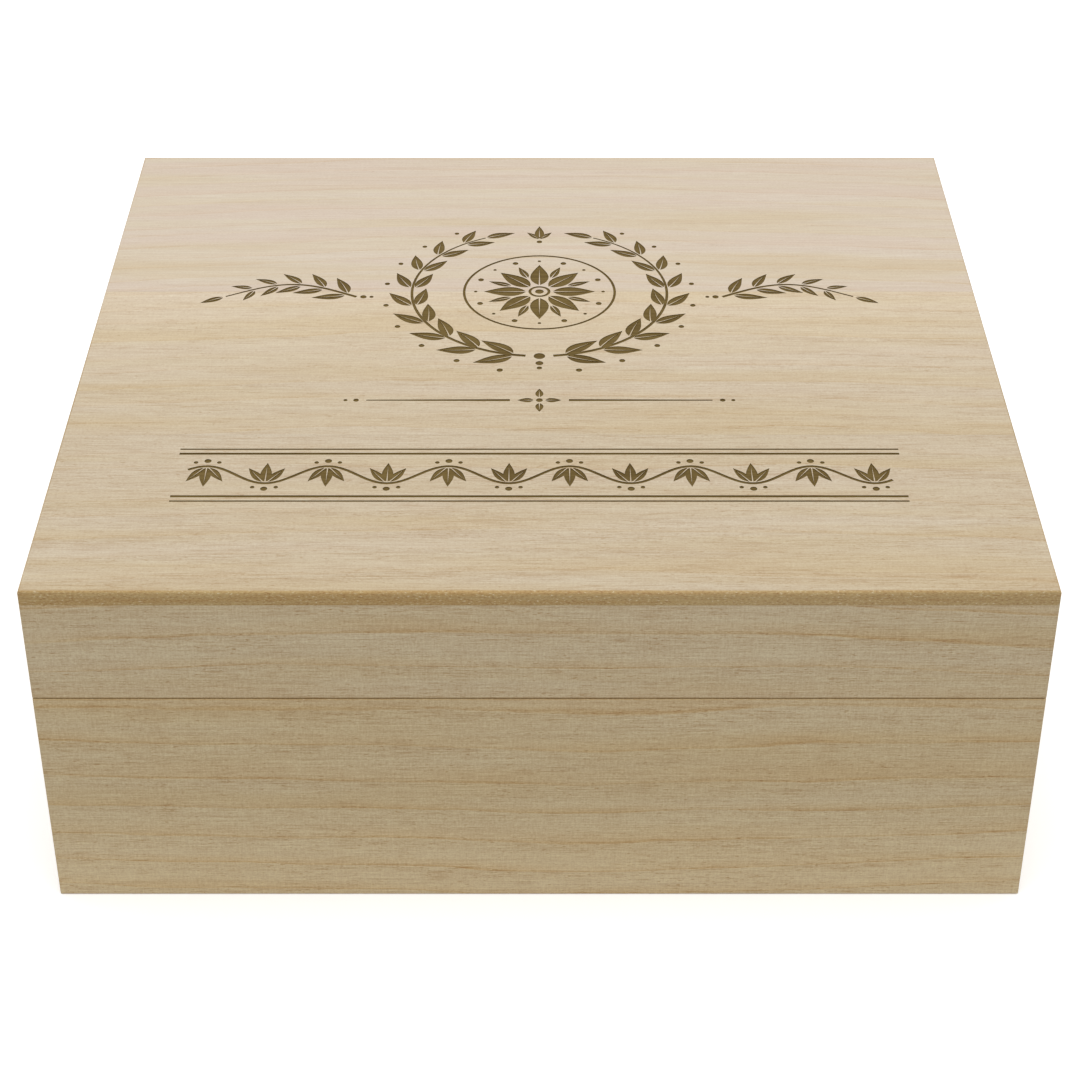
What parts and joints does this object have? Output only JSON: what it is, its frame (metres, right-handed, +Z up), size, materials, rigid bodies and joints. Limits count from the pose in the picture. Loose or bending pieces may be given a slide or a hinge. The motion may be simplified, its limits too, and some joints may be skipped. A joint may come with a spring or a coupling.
{
  "type": "keepsake box",
  "caption": "Square wooden keepsake box with a hinged lid: lapped walls, a grooved-in bottom, an overlaid lid panel and sunk butt hinges.",
  "frame": {"origin": "centre of the footprint, on the surface the box stands on", "axes": "+X to the right along the front, +Y from the front to the hinged back, +Z up"},
  "size_m": [0.3, 0.284, 0.1164],
  "materials": {
    "wall_wood": "bare, sanded",
    "panel_wood": "bare, sanded, engraved",
    "bottom_wood": "bare, sanded",
    "hinge_brass": "brushed",
    "pin_brass": "drawn",
    "screw_brass": "polished"
  },
  "bodies": {
    "base": {"base_front_board": "wall_wood", "base_back_board": "wall_wood", "base_left_board": "wall_wood", "base_right_board": "wall_wood", "bottom_panel": "bottom_wood", "left_hinge_base_leaf": "hinge_brass", "right_hinge_base_leaf": "hinge_brass", "left_hinge_pin": "pin_brass", "right_hinge_pin": "pin_brass", "base_hinge_screws": "screw_brass"},
    "lid": {"lid_front_rail": "wall_wood", "lid_back_rail": "wall_wood", "lid_left_rail": "wall_wood", "lid_right_rail": "wall_wood", "lid_panel_front_board": "panel_wood", "lid_panel_middle_board": "panel_wood", "lid_panel_rear_board": "panel_wood", "left_hinge_lid_leaf": "hinge_brass", "right_hinge_lid_leaf": "hinge_brass", "lid_hinge_screws": "screw_brass"}
  },
  "joints": [
    {"name": "lid_hinge", "type": "hinge", "parent": "base", "child": "lid", "pos_m": [0, 0.139, 0.07775], "axis": [-1, 0, 0], "range_deg": [0, 100]}
  ]
}
